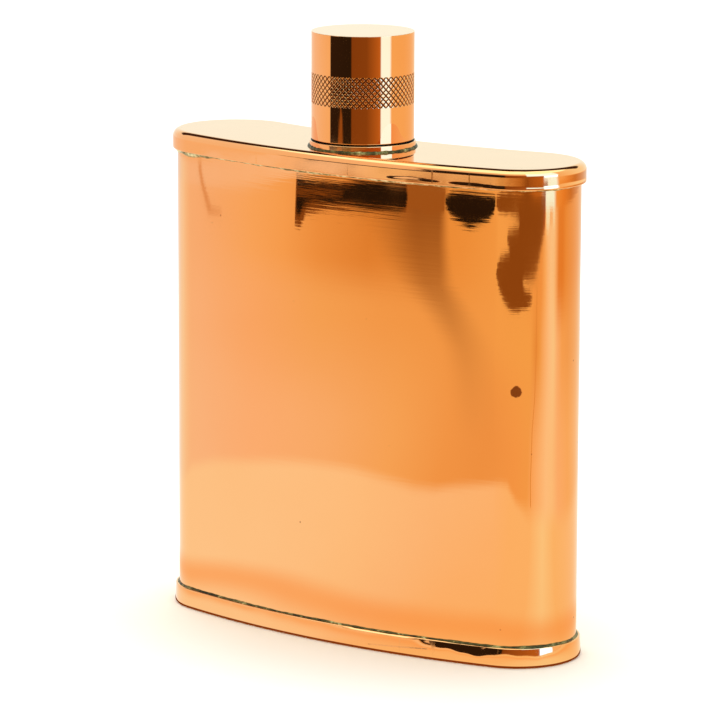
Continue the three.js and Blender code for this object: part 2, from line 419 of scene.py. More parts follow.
def soften(corners, closed, steps=6, hold=0.05 * MM):
    """Rounds the corners of a profile. A corner is (x, y, radius). A holding point stands on either side of
    each arc, so that the flats beside it stay flat."""
    points = []
    count = len(corners)
    for i, (x, y, radius) in enumerate(corners):
        if radius == 0 or (not closed and i in (0, count - 1)):
            points.append((x, y))
            continue
        here = np.array((x, y))
        to_last = np.array(corners[i - 1][:2]) - here
        to_next = np.array(corners[(i + 1) % count][:2]) - here
        to_last /= np.linalg.norm(to_last)
        to_next /= np.linalg.norm(to_next)
        half = math.acos(np.clip(to_last @ to_next, -1, 1)) / 2
        reach = radius / math.tan(half)
        middle = here + (to_last + to_next) / np.linalg.norm(to_last + to_next) * radius / math.sin(half)
        start = here + to_last * reach
        end = here + to_next * reach
        points.append(tuple(start + to_last * hold))
        from_angle = math.atan2(*(start - middle)[::-1])
        turn = math.atan2(*(end - middle)[::-1]) - from_angle
        turn = (turn + math.pi) % (2 * math.pi) - math.pi
        for k in range(steps + 1):
            angle = from_angle + turn * k / steps
            points.append(tuple(middle + radius * np.array((math.cos(angle), math.sin(angle)))))
        points.append(tuple(end + to_next * hold))
    return points


# ---- The kidney outline ----

def kidney(front=200, end=96, back=150):
    """Points of the flask's outline, their outward normals and the length run along it, starting at the
    middle of the hollow back and going round by the -X end, the front and the +X end."""
    def arc_radius(bulge):
        return (END_X ** 2 + bulge ** 2 - END_RADIUS ** 2) / (2 * abs(bulge - END_RADIUS))

    front_radius = arc_radius(FRONT_BULGE)
    back_radius = arc_radius(BACK_BULGE)
    front_y = END_Y + front_radius - FRONT_BULGE
    back_y = END_Y + back_radius + BACK_BULGE
    front_turn = math.atan2(END_X, front_y - END_Y)
    back_turn = math.atan2(END_X, back_y - END_Y)
    down, up = -math.pi / 2, math.pi / 2

    def arc(x, y, radius, start, finish, steps, sign=1):
        angles = start + (finish - start) * (np.arange(steps) + 0.5) / steps
        normals = np.stack([np.cos(angles), np.sin(angles)], 1)
        return np.array((x, y)) + radius * normals, sign * normals

    runs = [
        arc(0, back_y, back_radius, down, down - back_turn, back // 2, -1),
        arc(-END_X, END_Y, END_RADIUS, up - back_turn, 3 * up - front_turn, end),
        arc(0, front_y, front_radius, down - front_turn, down + front_turn, front),
        arc(END_X, END_Y, END_RADIUS, down + front_turn, up + back_turn, end),
        arc(0, back_y, back_radius, down + back_turn, down, back // 2, -1),
    ]
    points = np.concatenate([run[0] for run in runs])
    normals = np.concatenate([run[1] for run in runs])
    steps = np.linalg.norm(np.roll(points, -1, 0) - points, axis=1)
    return points, normals, np.concatenate([[0], np.cumsum(steps)[:-1]]), steps.sum()


OUTLINE, OUTWARD, ALONG, GIRTH = kidney()
FRONT_RUN = (ALONG - GIRTH / 2) / MM
ROUND_TURN = 2 * math.pi * ALONG / GIRTH


def outline_ring(inset, height):
    """The outline drawn in by an inset, as a ring. Inset and height may differ from point to point."""
    flat = OUTLINE - OUTWARD * np.reshape(np.broadcast_to(inset, len(OUTLINE)), (-1, 1))
    return np.column_stack([flat, np.broadcast_to(height, len(OUTLINE))])


def unevenness(parts, seed):
    """A smooth wave along the outline, made of whole numbers of waves with random sizes and phases."""
    chance = np.random.default_rng(seed)
    total = np.zeros(len(ROUND_TURN))
    for waves, size in parts:
        total += size * chance.uniform(0.6, 1.4) * np.sin(waves * ROUND_TURN + chance.uniform(0, 2 * math.pi))
    return total


def near(x, y, width):
    """1 at the outline's point beside (x, y), falling to 0 over the width along it."""
    place = np.argmin(np.linalg.norm(OUTLINE - np.array((x, y)), axis=1))
    gap = np.abs(ALONG - ALONG[place])
    gap = np.minimum(gap, GIRTH - gap)
    return np.exp(-((gap / width) ** 2))


# ---- Flask ----

def rolled_wall(finish):
    """One strip of sheet bent to the outline, its two edges facing each other across the seam."""
    slot = (seam_high.x - seam_low.x) / 2 + 0.04 * MM
    rows = 72
    chance = np.random.default_rng(11)
    waves = []
    for _ in range(14):
        across = chance.integers(1, 9)
        upright = chance.uniform(0.5, 5)
        phase = chance.uniform(0, 6.3)
        waves.append((across, upright, phase, chance.uniform(0.3, 1) / (across + 2 * upright)))
    rings = []
    for k in range(rows + 1):
        share = k / rows
        height = wall_low.z + (wall_high.z - wall_low.z) * share
        sway = sum(s * np.sin(a * ROUND_TURN + 2 * math.pi * u * share + p) for a, u, p, s in waves)
        outer = outline_ring(WALL_INSET + 0.035 * MM * sway, height)
        inner = outline_ring(WALL_INSET + SHEET, height)
        for ring in (outer, inner):
            ring[0, 0] = -slot
            ring[-1, 0] = slot
        rings.append(np.concatenate([outer, inner[::-1]]))
    verts, faces = skin(rings)
    count = len(OUTLINE)
    ring_size = 2 * count
    top = rows * ring_size
    for i in range(count - 1):
        opposite = ring_size - 1 - i
        faces.append([i + 1, i, opposite, opposite - 1])
        faces.append([top + i, top + i + 1, top + opposite - 1, top + opposite])
    make_piece("rolled_wall", verts, faces, finish, "flask", "body_copper", "body_wall")


def seam_line(finish):
    """Solder that fills the seam flush, standing a hair proud in places."""
    half = (seam_high.x - seam_low.x) / 2
    middle_y = (seam_low.y + seam_high.y) / 2
    section = soften(
        [(-half, -SHEET / 2, 0.05 * MM), (half, -SHEET / 2, 0.05 * MM),
         (half, SHEET / 2, 0.12 * MM), (-half, SHEET / 2, 0.12 * MM)], True, 4, 0.01 * MM)
    section = np.array(section)
    chance = np.random.default_rng(5)
    rows = 240
    swell = np.convolve(chance.normal(0, 1, rows + 9), np.ones(9) / 9, "valid")
    rings = []
    for k in range(rows + 1):
        height = seam_low.z + (seam_high.z - seam_low.z) * k / rows
        proud = np.where(section[:, 1] > 0, 0.05 * MM * (1 + swell[min(k, rows - 1)]), 0)
        flat = [section[:, 0], middle_y + section[:, 1] + proud]
        rings.append(np.column_stack([*flat, np.full(len(section), height)]))
    ends = [(0, middle_y, seam_low.z), (0, middle_y, seam_high.z)]
    verts, faces = skin(rings, tips=ends)
    make_piece("seam_line", verts, faces, finish, "flask", "solder", "seam_solder")


def round_ring(points, radius):
    """A circle about the neck's axis with one point in line with each of the given ones."""
    centre = np.array(AXIS[:2])
    rays = points - centre
    rays /= np.linalg.norm(rays, axis=1)[:, None]
    return centre + rays * radius


def face_rings(radius, inset, height, shares):
    """Rings across a flat face, from the neck's hole out to the outline."""
    edge = outline_ring(inset, height)
    hole = np.column_stack([round_ring(edge[:, :2], radius), np.full(len(edge), height)])
    return [hole + (edge - hole) * share for share in shares]


def stretch(start, end, soft):
    """1 along a stretch of the outline and 0 off it. Lengths are in millimetres from the middle of the front,
    positive towards +X, and each end fades over the soft length."""
    return eased((FRONT_RUN - start) / soft + 0.5) * eased((end - FRONT_RUN) / soft + 0.5)


def lid_rim_shape(height):
    """How far the lid's rim is pushed in at a height. It is uneven all round, and a bruised lip stands out
    along its lower edge at the front right."""
    h = height / MM
    top = lid_high.z / MM
    waves = unevenness([(9, 0.004), (17, 0.003), (31, 0.002)], 3)
    waves = waves * math.sin(math.pi * np.clip((top - h) / 5, 0, 1))
    bruise = 0.07 * stretch(20, 29, 6) + 0.11 * stretch(36, 72, 6)
    ledge = top - 3.75 + 0.25 * stretch(21, 27, 6) - 0.3 * stretch(43, 60, 8)
    return (waves - bruise * eased((ledge - h) / 0.5 + 0.5)) * MM


def divided(points, longest):
    """The same profile with extra points along its long flats."""
    out = [points[0]]
    for (x0, y0), (x1, y1) in zip(points[:-1], points[1:]):
        pieces = max(1, math.ceil(math.hypot(x1 - x0, y1 - y0) / longest))
        out += [(x0 + (x1 - x0) * k / pieces, y0 + (y1 - y0) * k / pieces) for k in range(1, pieces + 1)]
    return out


def pressed_lid(finish):
    """Plate with a rolled edge, its rim turned down round the wall, and a hole for the neck."""
    hole = collar_high.x - AXIS.x - COLLAR_OVERLAP
    top, edge, under = lid_high.z, lid_low.z, lid_high.z - SHEET
    shares = [0, 0.004, 0.25, 0.5, 0.75, 0.95]
    flat_inset = 2.6 * MM
    middle = SHEET / 2
    outer = soften(
        [(flat_inset, top, 0), (0, top, LID_ROLL), (0, edge, 0.25 * MM), (middle, edge, 0)], False, 16)
    inner = soften(
        [(middle, edge, 0), (SHEET, edge, 0.12 * MM), (SHEET, under, 0.35 * MM),
         (flat_inset, under, 0)], False)
    rings = face_rings(hole, flat_inset, top, shares)
    for inset, height in divided(outer, 0.15 * MM)[1:]:
        fade = min(1, 3 - inset / SHEET)
        rings.append(outline_ring(inset + lid_rim_shape(height) * fade, height))
    rings += [outline_ring(inset, height) for inset, height in inner[1:]]
    rings += face_rings(hole, flat_inset, under, shares[::-1])
    verts, faces = skin(rings[::-1], loop=True)
    make_piece("pressed_lid", verts, faces, finish, "flask", "plate_copper", "top_plate")


def base_rim_shape(height):
    """How far the pan's rim leans in at a height. It leans more at the front right, where the edge was
    hammered over, carries one crease, and its top edge is worn round beside that."""
    h = height / MM
    waves = unevenness([(7, 0.012), (15, 0.01), (28, 0.006)], 8) * math.sin(math.pi * min(h / 4.75, 1))
    lean = 0.022 * h + 0.00825 * h * h
    hammered = stretch(27, 64, 6) * (0.5 + 0.5 * stretch(32, 45, 6))
    crease = 1.5 + np.clip((FRONT_RUN - 12) / 16, 0, 1)
    fold = 0.05 * stretch(13, 28, 4) * eased((h - crease) / 0.14 + 0.5)
    worn_edge = 1.15 * stretch(7, 24, 4) * max(h - base_high.z / MM + 0.4, 0)
    wobble = 0.4 * np.sin(FRONT_RUN * 0.42) + 0.14 * np.sin(FRONT_RUN * 1.3 + 1)
    dent = 0.05 * hammered * np.maximum(h - 2.1 - wobble, 0) ** 2
    return (waves + lean + dent + fold + worn_edge) * MM


def pressed_base(finish):
    """Pan with its rim turned up round the wall."""
    edge = base_high.z
    floor_inset = 2.4 * MM
    inside = SHEET + BASE_FIT
    outer = soften(
        [(floor_inset, 0, 0), (0, 0, BASE_ROLL), (0, edge, 0.22 * MM), (0.7 * MM, edge, 0)], False, 10)
    inner = soften(
        [(0.7 * MM, edge, 0), (inside, edge, 0.1 * MM), (inside, SHEET, 0.3 * MM),
         (floor_inset, SHEET, 0)], False)
    rings = [outline_ring(floor_inset, 0) * (share, share, 1) for share in (0.3, 0.6, 0.9)]
    rings.append(outline_ring(floor_inset, 0))
    for inset, height in divided(outer, 0.09 * MM)[1:]:
        fade = min(1, 3 - inset / (0.8 * MM))
        rings.append(outline_ring(inset + base_rim_shape(height) * fade, height))
    rings += [outline_ring(inset, height) for inset, height in inner[1:]]
    rings += [outline_ring(floor_inset, SHEET) * (share, share, 1) for share in (0.9, 0.6, 0.3)]
    tips = ((0, 0, 0), (0, 0, SHEET))
    verts, faces = skin(rings, tips=tips)
    make_piece("pressed_base", verts, faces, finish, "flask", "plate_copper", "bottom_plate")


def bead_sizes(seed, thin, thick, blobs):
    """How thick a run of solder is along the outline. It is uneven between thin and thick, and a blob
    (x, y, width, more) adds to it near a place."""
    chance = np.random.default_rng(seed)
    wander = unevenness([(3, 0.4), (7, 0.35), (13, 0.3), (29, 0.3), (61, 0.28), (113, 0.2)], seed)
    size = thin + (thick - thin) * np.clip(0.5 + 0.4 * wander, 0, 1)
    for x, y, width, more in blobs:
        size += more * near(x * MM, y * MM, width * MM) * (1 + 0.3 * chance.normal())
    return size * MM


def fillet(sag, steps=7):
    """The sagging face of a bead in a corner, as shares of its size along one side and up the other."""
    points = []
    for k in range(steps + 1):
        angle = math.pi / 2 * k / steps
        hollow = sag * math.sin(2 * angle)
        points.append((math.sin(angle) - hollow, math.cos(angle) - hollow))
    return points


def flange_bead(name, node, edge, direction, size, finish):
    """Solder in the corner between a flange's edge and the wall, drawn up into the gap behind it."""
    rings = []
    for across, up in fillet(0.12):
        inset = WALL_INSET + 0.06 * MM - (size + 0.06 * MM) * across
        rings.append(outline_ring(np.maximum(inset, 0.1 * MM), edge + direction * size * up))
    rings.append(outline_ring(SHEET - 0.1 * MM, edge - direction * 0.1 * MM))
    rings.append(outline_ring(WALL_INSET + 0.1 * MM, edge - direction * 0.6 * MM))
    verts, faces = skin(rings[::-1] if direction > 0 else rings, loop=True)
    make_piece(name, verts, faces, finish, "flask", "solder", node, sharp=60)


def lid_bead(finish):
    blobs = [(-47, -10, 13, 0.22), (-53, -4, 3, 0.3), (-49, -8, 2, 0.3), (-44, -12, 2.5, 0.35),
             (-39, -14, 2, 0.2), (-33, -15, 3, 0.15), (-5, -17, 12, 0.15)]
    size = bead_sizes(21, 0.25, 0.6, blobs)
    flange_bead("lid_bead", "top_solder", lid_low.z, -1, size, finish)


def base_bead(finish):
    size = bead_sizes(22, 0.3, 0.55, [(0, -17, 6, 0.1), (54, -4, 8, 0.25)])
    flange_bead("base_bead", "bottom_solder", base_high.z, 1, size, finish)


# ---- Turned pieces ----

def circle(radius, height, count=192):
    """A ring about the neck's axis. Radius and height may differ from point to point."""
    angles = full_turn(count)
    radius = np.broadcast_to(radius, count)
    flat = np.stack([AXIS.x + radius * np.cos(angles), AXIS.y + radius * np.sin(angles)], 1)
    return np.column_stack([flat, np.broadcast_to(height, count)])


def circles(profile, count=192):
    return [circle(radius, height, count) for radius, height in profile]


def on_axis(height):
    return (AXIS.x, AXIS.y, height)


def neck_ring(finish):
    """The copper ring that the cap closes down to."""
    inner = NECK_RADIUS + 0.15 * MM
    profile = soften(
        [(inner, collar_low.z, 0.05 * MM), (COLLAR_RADIUS, collar_low.z, 0.1 * MM),
         (COLLAR_RADIUS, collar_high.z, 0.13 * MM), (inner, collar_high.z, 0.1 * MM)], True)
    verts, faces = skin(circles(profile), loop=True)
    make_piece("neck_ring", verts, faces, finish, "flask", "plate_copper", "neck_collar")


def round_bead(name, node, inner, low, size, finish, direction=1):
    """Uneven solder in the corner between an upright round face and a flat one."""
    count = len(size)
    rings = [circle(inner + size * across, low + direction * size * up, count) for up, across in fillet(0.1)]
    rings.append(circle(inner - 0.03 * MM, low + direction * 0.02 * MM, count))
    verts, faces = skin(rings if direction > 0 else rings[::-1], loop=True)
    make_piece(name, verts, faces, finish, "flask", "solder", node, sharp=60)


def ring_sizes(seed, thin, thick, count=360):
    """How thick a bead is round the neck's axis."""
    chance = np.random.default_rng(seed)
    angles = full_turn(count)
    wander = np.zeros(count)
    for waves in (2, 3, 5, 9, 14, 23, 37, 52):
        wander += chance.uniform(0.2, 0.5) * np.sin(waves * angles + chance.uniform(0, 6.3))
    return (thin + (thick - thin) * np.clip(0.5 + 0.35 * wander, 0, 1)) * MM


def ridge(angles, height, root, crest, start, turns, fade=0.12):
    """How much of a thread's ridge stands at each angle round a height, from 0 to 1."""
    lead = (height - start) / PITCH - angles / (2 * math.pi)
    turn = np.round(lead)
    offset = np.abs(lead - turn) * PITCH
    level = np.clip((root - offset) / (root - crest), 0, 1)
    run = turn + angles / (2 * math.pi)
    ends = np.clip(run / fade, 0, 1) * np.clip((turns - run) / fade, 0, 1)
    return level * ends


def threaded_neck(finish):
    """Spout with a foot flange and a raised thread."""
    count = THREAD_POINTS
    angles = full_turn(count)
    foot = neck_low.z
    foot_top = foot + 1 * MM
    rim = neck_high.z
    profile = soften(
        [(BORE_RADIUS, foot, 0.15 * MM), (FOOT_RADIUS, foot, 0.15 * MM), (FOOT_RADIUS, foot_top, 0.15 * MM),
         (NECK_RADIUS, foot_top, 0.1 * MM)], False)
    rings = circles(profile, count)
    low, high = THREAD_START - RIDGE_ROOT, THREAD_START + THREAD_TURNS * PITCH + RIDGE_ROOT
    for height in np.linspace(low, high, THREAD_ROWS):
        level = ridge(angles, height, RIDGE_ROOT, RIDGE_CREST, THREAD_START, THREAD_TURNS)
        rings.append(circle(NECK_RADIUS + THREAD_DEPTH * level, height, count))
    lip = soften(
        [(NECK_RADIUS, high, 0), (NECK_RADIUS, rim, 0.35 * MM), (BORE_RADIUS, rim, 0.4 * MM),
         (BORE_RADIUS, foot, 0)], False)
    rings += circles(lip[1:], count)
    verts, faces = skin(rings, loop=True)
    make_piece("threaded_neck", verts, faces, finish, "flask", "thread_brass", "neck")


def knurl(angles, height):
    """Depth cut by two crossing families of slanted grooves at a height in the band."""
    up = (height - KNURL_LOW) / (KNURL_HIGH - KNURL_LOW) * KNURLS_TALL
    around = angles / (2 * math.pi) * KNURLS_ROUND
    depth = np.zeros(len(angles))
    for slope in (1, -1):
        phase = around + slope * up
        gap = np.abs(phase - np.round(phase))
        depth = np.maximum(depth, np.clip(1 - gap / GROOVE_HALF, 0, 1))
    return KNURL_DEPTH * np.minimum(depth * 1.25, 1)


def turned_cap(finish):
    """Cap with a blind bore, a flat top and a knurled band."""
    count = KNURLS_ROUND * 14
    angles = full_turn(count)
    bore = INSERT_RADIUS + 0.05 * MM
    ceiling = gasket_high.z + 0.1 * MM
    edge, top = cap_low.z, cap_high.z
    inside = soften(
        [(0.5 * MM, ceiling, 0), (bore, ceiling, 0.2 * MM), (bore, edge, 0.15 * MM),
         (CAP_RADIUS, edge, 0.18 * MM), (CAP_RADIUS, KNURL_LOW, 0)], False, 5, 0.03 * MM)
    rings = circles(inside, count)
    rows = KNURLS_TALL * 16
    shoulder = 0.05 * MM
    for k in range(rows + 1):
        height = KNURL_LOW + shoulder + (KNURL_HIGH - KNURL_LOW - 2 * shoulder) * k / rows
        run_in = 1 if k > 1 else 0.6
        rings.append(circle(CAP_RADIUS - run_in * knurl(angles, height), height, count))
    outside = soften(
        [(CAP_RADIUS, KNURL_HIGH, 0), (CAP_RADIUS, top, 0.07 * MM), (0.5 * MM, top, 0)], False, 5, 0.03 * MM)
    rings += circles(outside, count)
    verts, faces = skin(rings, tips=(on_axis(ceiling), on_axis(top)))
    make_piece("turned_cap", verts, faces, finish, "cap", "cap_copper", "cap_shell", sharp=28)


def thread_ring(finish):
    """The cap's brass ring. Its groove follows the neck's ridge with play on every side."""
    count = THREAD_POINTS
    angles = full_turn(count)
    bore = NECK_RADIUS + THREAD_PLAY
    low, high = insert_low.z, insert_high.z
    shell = soften(
        [(bore, low, 0.1 * MM), (INSERT_RADIUS, low, 0.15 * MM), (INSERT_RADIUS, high, 0.1 * MM),
         (bore, high, 0)], False)
    rings = circles(shell[:-1], count)
    root, crest = RIDGE_ROOT + 0.2 * MM, RIDGE_CREST + 0.25 * MM
    start = THREAD_START - 2 * PITCH
    for height in np.linspace(high, low, THREAD_ROWS):
        level = ridge(angles, height, root, crest, start, THREAD_TURNS + 4)
        rings.append(circle(bore + THREAD_DEPTH * level, height, count))
    verts, faces = skin(rings, loop=True)
    make_piece("thread_ring", verts, faces, finish, "cap", "thread_brass", "cap_thread_insert")


def sealing_disc(finish):
    """The disc bears the print of the neck's rim."""
    radius = (gasket_high.x - gasket_low.x) / 2
    low, high = gasket_low.z, gasket_high.z
    print_radius = (BORE_RADIUS + NECK_RADIUS) / 2
    dip = 0.12 * MM
    profile = soften(
        [(0.5 * MM, high, 0), (radius, high, 0.3 * MM), (radius, low, 0.3 * MM),
         (print_radius + 0.8 * MM, low, 0.2 * MM), (print_radius + 0.5 * MM, low + dip, 0.1 * MM),
         (print_radius - 0.5 * MM, low + dip, 0.1 * MM), (print_radius - 0.8 * MM, low, 0.2 * MM),
         (0.5 * MM, low, 0)][::-1], False, 5, 0.02 * MM)
    verts, faces = skin(circles(profile), tips=(on_axis(low), on_axis(high)))
    make_piece("sealing_disc", verts, faces, finish, "seal", "seal", "cap_gasket")


# ---- Studio ----

BROWN = (0.28, 0.125, 0.025)
BLACK = (0.02, 0.014, 0.01)
TABLE_RADIUS = 4.0
MIRRORED_RADIUS = 1.25
STAGE_STEPS = 96
# Half sizes of the flask's footprint, round which the reflected table carries a painted contact shadow.
SHADOW_FOOTPRINT_HALF_LENGTH = 39 * MM
SHADOW_FOOTPRINT_HALF_WIDTH = 17.6 * MM


def stage_mesh(name, verts, faces, finish, **seen_by):
    """A mesh that is only staging, seen by the named kinds of ray and by no others."""
    thing = put_mesh(name, verts, faces, finish)
    for ray in ("camera", "diffuse", "glossy", "transmission", "volume_scatter", "shadow"):
        setattr(thing, "visible_" + ray, seen_by.get(ray, False))


def directional(finish, heading, stops):
    """A colour that changes with direction. Headings run once round, from -180 to 180."""
    first, last = stops[0], stops[-1]
    meet = tuple((p + q) / 2 for p, q in zip(first[1], last[1]))
    stops = [(-180, meet)] + stops + [(180, meet)]
    shares = [((h + 180) / 360, c) for h, c in stops]
    return finish.node("ValToRGB", {"stops": shares}, {"Fac": (heading + 180) / 360})


def curve(finish, value, stops):
    """A number that follows a bent line through the given (value, result) points."""
    low, high = stops[0][0], stops[-1][0]
    tallest = max(abs(result) for _, result in stops)
    grey = [((v - low) / (high - low), (0.5 + result / tallest / 2,) * 3) for v, result in stops]
    share = finish.node("ValToRGB", {"stops": grey}, {"Fac": (value - low) / (high - low)})
    return (share - 0.5) * (2 * tallest)


# Light coming off the table towards the flask, in bands going outwards. A band is [(heading, colour), ...].
TABLE_LIGHT = {
    "foot": [
        (-90, (1.04, 1.2, 1.2)), (-66, (1.05, 1.22, 1.35)), (-45, (1.05, 1.19, 1.3)),
        (-25, (1.05, 1.14, 1.17)), (-8, (1.04, 1.06, 1.05)), (10, (1.04, 0.99, 0.85)),
        (35, (1.04, 0.98, 0.75)), (66, (1.04, 0.99, 0.75)), (85, (1.04, 1.24, 1.18)),
        (103, (1.03, 1.02, 0.78)), (130, (1.04, 1.04, 0.88))],
    "near": [
        (-90, (1.01, 1.16, 1.2)), (-64, (1.02, 1.02, 1.15)), (-52, (1.03, 0.95, 0.96)),
        (-35, (1.0, 0.9, 0.78)), (-20, (0.98, 0.82, 0.53)), (-8, (0.94, 0.68, 0.35)),
        (0, (0.92, 0.64, 0.31)), (40, (0.96, 0.68, 0.33)), (60, (0.96, 0.72, 0.35)),
        (70, (1.03, 0.86, 0.63)), (90, (1.05, 1.14, 1.15)), (100, (1.04, 1.13, 1.08)),
        (112, (1.03, 0.92, 0.8)), (135, (1.01, 0.87, 0.58))],
    "middle": [
        (-90, (1.01, 1.16, 1.2)), (-64, (1.01, 0.95, 1.0)), (-52, (1.01, 0.87, 0.75)),
        (-38, (0.97, 0.8, 0.5)), (-26, (0.95, 0.73, 0.4)), (-10, (0.94, 0.7, 0.34)), (0, (0.97, 0.75, 0.36)),
        (60, (0.97, 0.76, 0.35)), (70, (0.87, 0.58, 0.22)), (76, (0.94, 0.7, 0.3)), (85, (1.02, 0.93, 0.76)),
        (94, (1.04, 1.14, 1.2)), (102, (1.03, 1.24, 1.28)), (110, (1.02, 0.95, 0.85)),
        (120, (0.98, 0.78, 0.46)), (135, (0.95, 0.74, 0.42))],
    "far": [
        (-90, (1.01, 1.14, 1.2)), (-64, (1.0, 0.92, 0.92)), (-52, (1.0, 0.83, 0.58)),
        (-45, (0.98, 0.76, 0.44)), (-38, (0.9, 0.61, 0.27)), (-28, (0.8, 0.48, 0.16)),
        (-10, (0.91, 0.62, 0.24)), (0, (0.98, 0.76, 0.36)), (45, (0.97, 0.75, 0.36)),
        (78, (0.95, 0.65, 0.28)), (85, (1.02, 0.88, 0.55)), (90, (1.03, 1.04, 0.97)),
        (96, (1.04, 1.2, 1.27)), (102, (1.03, 1.15, 1.15)), (106, (1.0, 0.9, 0.7)),
        (112, (0.85, 0.47, 0.14)), (120, (0.84, 0.45, 0.12)), (130, (0.9, 0.58, 0.22))],
    "rim": [
        (-88, (1.0, 1.15, 1.25)), (-66, (1.0, 1.0, 1.15)), (-50, (1.02, 1.0, 1.05)),
        (-34, (1.02, 1.02, 1.1)), (-25, (1.0, 0.95, 0.75)), (-10, (0.97, 0.9, 0.72)), (0, (0.97, 0.8, 0.45)),
        (18, (0.92, 0.66, 0.31)), (38, (0.88, 0.5, 0.16)), (57, (0.55, 0.24, 0.05)), (72, (0.6, 0.28, 0.06)),
        (80, (0.9, 0.45, 0.12)), (86, (1.0, 2.0, 3.6)), (100, (1.0, 2.0, 3.6)), (106, (0.95, 0.6, 0.2)),
        (123, (0.85, 0.43, 0.1)), (142, (0.65, 0.34, 0.1))],
    "beyond": [
        (-143, (1.0, 0.88, 0.72)), (-80, (1.0, 0.93, 0.9)), (-41, (1.0, 0.86, 0.66)),
        (-39.5, (0.03, 0.02, 0.015)), (10.5, (0.025, 0.018, 0.012)), (12.5, (0.24, 0.095, 0.02)),
        (45, (0.26, 0.105, 0.022)), (70, (0.5, 0.21, 0.045)), (76, (0.6, 0.26, 0.06)), (78, (1.1, 2.1, 4.0)),
        (99, (1.1, 2.1, 4.0)), (104, (1.0, 0.82, 0.5)), (140, (1.0, 0.8, 0.48))],
}
# Where a band begins and how softly, in millimetres.
BAND_EDGE = {"middle": (345, 180), "far": (495, 130), "rim": (703, 8), "beyond": (768, 10)}
# Where the near band begins: (heading, distance in millimetres).
SHORE = [
    (-95, 190), (-80, 194), (-62, 211), (-45, 206), (-28, 200), (-13, 182), (-8, 182), (5, 202),
    (17, 213), (28, 220), (43, 208), (60, 207), (75, 208), (100, 202), (125, 192), (145, 188)]
# The dark trail across the table, by distance in millimetres: its heading, how dark it is, and how softly it
# starts and ends as the heading grows.
TRAIL_HEADING = [(200, 1), (280, -1), (380, -5), (450, -9), (500, -12.4), (560, -13.6), (620, -14)]
TRAIL_DARK = [(200, 0), (260, 0.02), (380, 0.22), (450, 0.36), (500, 0.5), (560, 0.66), (620, 0.8)]
TRAIL_START = [(200, 7), (380, 7), (450, 8), (500, 9), (560, 12), (620, 14)]
TRAIL_END = [(200, 9), (400, 8), (470, 5), (520, 3), (620, 2.2)]


def table_glow():
    """What the polished metal sees of the table, by distance and direction from the flask."""
    finish = Finish("table_glow")
    spot = finish.spot()
    reach = finish.length(spot) / MM
    heading = finish.heading(spot)
    light = {band: directional(finish, heading, stops) for band, stops in TABLE_LIGHT.items()}
    reached = {band: finish.step(reach, edge, soft) for band, (edge, soft) in BAND_EDGE.items()}

    shore = curve(finish, heading, SHORE)
    soft = 22 + finish.step(heading, 56, 20) * 22
    far_shore = finish.node("MapRange", {"interpolation_type": "SMOOTHSTEP"},
                            {"Value": reach - shore, "From Min": soft * -0.5, "From Max": soft * 0.5})
    colour = finish.blend(far_shore, light["foot"], light["near"])
    for band in ("middle", "far"):
        colour = finish.blend(reached[band], colour, light[band])

    beside = heading - curve(finish, reach, TRAIL_HEADING)
    started = finish.step(beside / curve(finish, reach, TRAIL_START), -0.75, 0.8)
    ended = finish.step(beside / curve(finish, reach, TRAIL_END), 0, 1)
    trail = started * (1 - ended) * curve(finish, reach, TRAIL_DARK)
    colour = finish.blend(trail, colour, (0.22, 0.085, 0.015))

    # Painted contact shadow: the reflected table turns darker and more orange in a band 17 to 40 mm out from
    # the footprint.
    past_end = finish.maths("ABSOLUTE", finish.part(spot, 0)) - SHADOW_FOOTPRINT_HALF_LENGTH
    corner = {"X": finish.maths("MAXIMUM", past_end, 0.0), "Y": finish.part(spot, 1)}
    gap = (finish.length(finish.node("CombineXYZ", {}, corner)) - SHADOW_FOOTPRINT_HALF_WIDTH) / MM
    contact_shadow = finish.window(gap, 17, 40, 22)
    colour = finish.blend(contact_shadow * 0.6, colour, (1.02, 0.66, 0.3))

    for band in ("rim", "beyond"):
        colour = finish.blend(reached[band], colour, light[band])
    licks = (finish.noise(9.0, detail=2.0) - 0.5) * 16
    flame = finish.step((925 - reach) * 0.04 - finish.maths("ABSOLUTE", heading + 14 + licks), 0, 3)
    colour = finish.blend(reached["beyond"] * flame, colour, (0.32, 0.14, 0.035))
    return finish.glow(colour)


# Light from the room by direction, and the same for its dark parts: [(heading, colour), ...].
ROOM_WALLS = [(-143, (1.03, 1.24, 1.17)), (-90, (1.0, 1.05, 1.15)), (-46, (1.0, 0.95, 0.9)),
              (100, (1.0, 0.85, 0.6)), (150, (1.03, 1.2, 1.1))]
ROOM_DARK = [(-45, (0.03, 0.02, 0.012)), (10.5, (0.025, 0.018, 0.012)), (12.5, (0.24, 0.095, 0.02)),
             (75, (0.5, 0.21, 0.045))]


